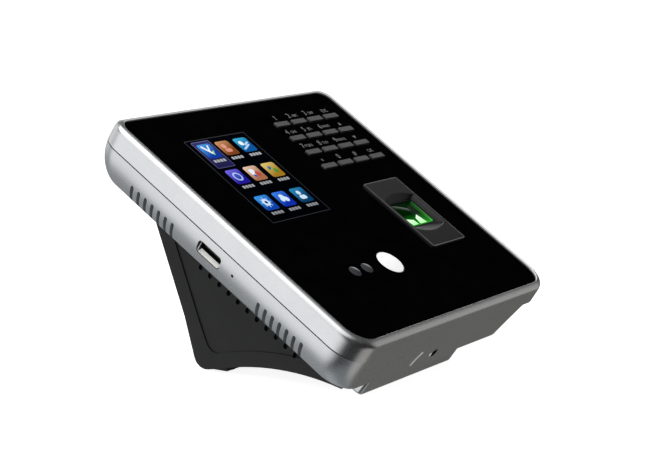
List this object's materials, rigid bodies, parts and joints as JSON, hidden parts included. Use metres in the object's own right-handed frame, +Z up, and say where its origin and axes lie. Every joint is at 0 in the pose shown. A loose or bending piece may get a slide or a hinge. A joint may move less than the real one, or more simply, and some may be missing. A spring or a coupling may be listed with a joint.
{
  "type": "fingerprint scanner terminal",
  "caption": "Tilted desk terminal with a black glass front, colour screen, slim keypad, recessed fingerprint window, face camera and a wedge-shaped black stand behind.",
  "frame": {"origin": "middle of the footprint of the whole assembly, on the table plane", "axes": "+X from the screen side to the keypad side as the user reads the panel, -Y towards the user, +Z up"},
  "size_m": [0.1676, 0.1376, 0.1125],
  "materials": {
    "silver_paint": "satin silver paint",
    "black_glass": "black-printed cover glass, polished",
    "screen": "lit colour screen behind the glass",
    "key_grey": "dark grey key caps",
    "silicone": "matte silicone",
    "circuit_board": "green solder mask",
    "bezel_grey": "dark grey satin",
    "green_prism": "glass prism lit green from below",
    "white_diffuser": "white diffuser",
    "lens": "dark coated lens",
    "steel": "bright zinc or nickel plate",
    "chip_black": "moulded black",
    "flex_film": "amber film",
    "stand_black": "fine-textured black",
    "rubber": "matte"
  },
  "bodies": {
    "terminal": {"front_housing": "silver_paint", "rear_housing": "silver_paint", "front_glass": "black_glass", "lcd_module": "screen", "keypad_mat": "silicone", "keypad_board": "circuit_board", "camera_board": "circuit_board", "main_board": "circuit_board", "fingerprint_bezel": "bezel_grey", "fingerprint_window": "green_prism", "illuminator_window": "white_diffuser", "illuminator_led": "white_diffuser", "camera_lens_left": "lens", "camera_lens_right": "lens", "case_screw_upper_left": "steel", "case_screw_upper_right": "steel", "case_screw_lower_left": "steel", "case_screw_lower_right": "steel", "clock_battery": "steel", "network_jack": "steel", "usb_socket": "steel", "mounting_plate": "steel", "security_screw": "steel", "stand_screw_1": "steel", "stand_screw_2": "steel", "stand_screw_3": "steel", "stand_screw_4": "steel", "fingerprint_module": "chip_black", "processor_chip": "chip_black", "speaker": "chip_black", "power_jack": "chip_black", "reset_switch": "chip_black", "tamper_switch": "chip_black", "lcd_ribbon": "flex_film", "fingerprint_ribbon": "flex_film", "stand_side_left": "stand_black", "stand_side_right": "stand_black", "stand_back": "stand_black", "stand_deck": "stand_black", "rubber_foot_left": "rubber", "rubber_foot_right": "rubber"},
    "key_1": {"key_1": "key_grey"},
    "key_2": {"key_2": "key_grey"},
    "key_3": {"key_3": "key_grey"},
    "key_escape": {"key_escape": "key_grey"},
    "key_4": {"key_4": "key_grey"},
    "key_5": {"key_5": "key_grey"},
    "key_6": {"key_6": "key_grey"},
    "key_up": {"key_up": "key_grey"},
    "key_7": {"key_7": "key_grey"},
    "key_8": {"key_8": "key_grey"},
    "key_9": {"key_9": "key_grey"},
    "key_down": {"key_down": "key_grey"},
    "key_star": {"key_star": "key_grey"},
    "key_0": {"key_0": "key_grey"},
    "key_hash": {"key_hash": "key_grey"},
    "key_menu": {"key_menu": "key_grey"},
    "tamper_plunger": {"tamper_plunger": "white_diffuser"},
    "reset_button": {"reset_button": "key_grey"}
  },
  "joints": [
    {"name": "key_1_press", "type": "slide", "parent": "terminal", "child": "key_1", "axis": [0, 0.5519, -0.8339], "range_m": [0, 0.0007], "stiffness_N_per_m": 500, "springref_m": -0.001},
    {"name": "key_2_press", "type": "slide", "parent": "terminal", "child": "key_2", "axis": [0, 0.5519, -0.8339], "range_m": [0, 0.0007], "stiffness_N_per_m": 500, "springref_m": -0.001},
    {"name": "key_3_press", "type": "slide", "parent": "terminal", "child": "key_3", "axis": [0, 0.5519, -0.8339], "range_m": [0, 0.0007], "stiffness_N_per_m": 500, "springref_m": -0.001},
    {"name": "key_escape_press", "type": "slide", "parent": "terminal", "child": "key_escape", "axis": [0, 0.5519, -0.8339], "range_m": [0, 0.0007], "stiffness_N_per_m": 500, "springref_m": -0.001},
    {"name": "key_4_press", "type": "slide", "parent": "terminal", "child": "key_4", "axis": [0, 0.5519, -0.8339], "range_m": [0, 0.0007], "stiffness_N_per_m": 500, "springref_m": -0.001},
    {"name": "key_5_press", "type": "slide", "parent": "terminal", "child": "key_5", "axis": [0, 0.5519, -0.8339], "range_m": [0, 0.0007], "stiffness_N_per_m": 500, "springref_m": -0.001},
    {"name": "key_6_press", "type": "slide", "parent": "terminal", "child": "key_6", "axis": [0, 0.5519, -0.8339], "range_m": [0, 0.0007], "stiffness_N_per_m": 500, "springref_m": -0.001},
    {"name": "key_up_press", "type": "slide", "parent": "terminal", "child": "key_up", "axis": [0, 0.5519, -0.8339], "range_m": [0, 0.0007], "stiffness_N_per_m": 500, "springref_m": -0.001},
    {"name": "key_7_press", "type": "slide", "parent": "terminal", "child": "key_7", "axis": [0, 0.5519, -0.8339], "range_m": [0, 0.0007], "stiffness_N_per_m": 500, "springref_m": -0.001},
    {"name": "key_8_press", "type": "slide", "parent": "terminal", "child": "key_8", "axis": [0, 0.5519, -0.8339], "range_m": [0, 0.0007], "stiffness_N_per_m": 500, "springref_m": -0.001},
    {"name": "key_9_press", "type": "slide", "parent": "terminal", "child": "key_9", "axis": [0, 0.5519, -0.8339], "range_m": [0, 0.0007], "stiffness_N_per_m": 500, "springref_m": -0.001},
    {"name": "key_down_press", "type": "slide", "parent": "terminal", "child": "key_down", "axis": [0, 0.5519, -0.8339], "range_m": [0, 0.0007], "stiffness_N_per_m": 500, "springref_m": -0.001},
    {"name": "key_star_press", "type": "slide", "parent": "terminal", "child": "key_star", "axis": [0, 0.5519, -0.8339], "range_m": [0, 0.0007], "stiffness_N_per_m": 500, "springref_m": -0.001},
    {"name": "key_0_press", "type": "slide", "parent": "terminal", "child": "key_0", "axis": [0, 0.5519, -0.8339], "range_m": [0, 0.0007], "stiffness_N_per_m": 500, "springref_m": -0.001},
    {"name": "key_hash_press", "type": "slide", "parent": "terminal", "child": "key_hash", "axis": [0, 0.5519, -0.8339], "range_m": [0, 0.0007], "stiffness_N_per_m": 500, "springref_m": -0.001},
    {"name": "key_menu_press", "type": "slide", "parent": "terminal", "child": "key_menu", "axis": [0, 0.5519, -0.8339], "range_m": [0, 0.0007], "stiffness_N_per_m": 500, "springref_m": -0.001},
    {"name": "tamper_plunger_press", "type": "slide", "parent": "terminal", "child": "tamper_plunger", "axis": [0, -0.5519, 0.8339], "range_m": [0, 0.0012], "stiffness_N_per_m": 400, "springref_m": -0.001},
    {"name": "reset_button_press", "type": "slide", "parent": "terminal", "child": "reset_button", "axis": [1, 0, 0], "range_m": [0, 0.0004], "stiffness_N_per_m": 800, "springref_m": -0.0005}
  ]
}
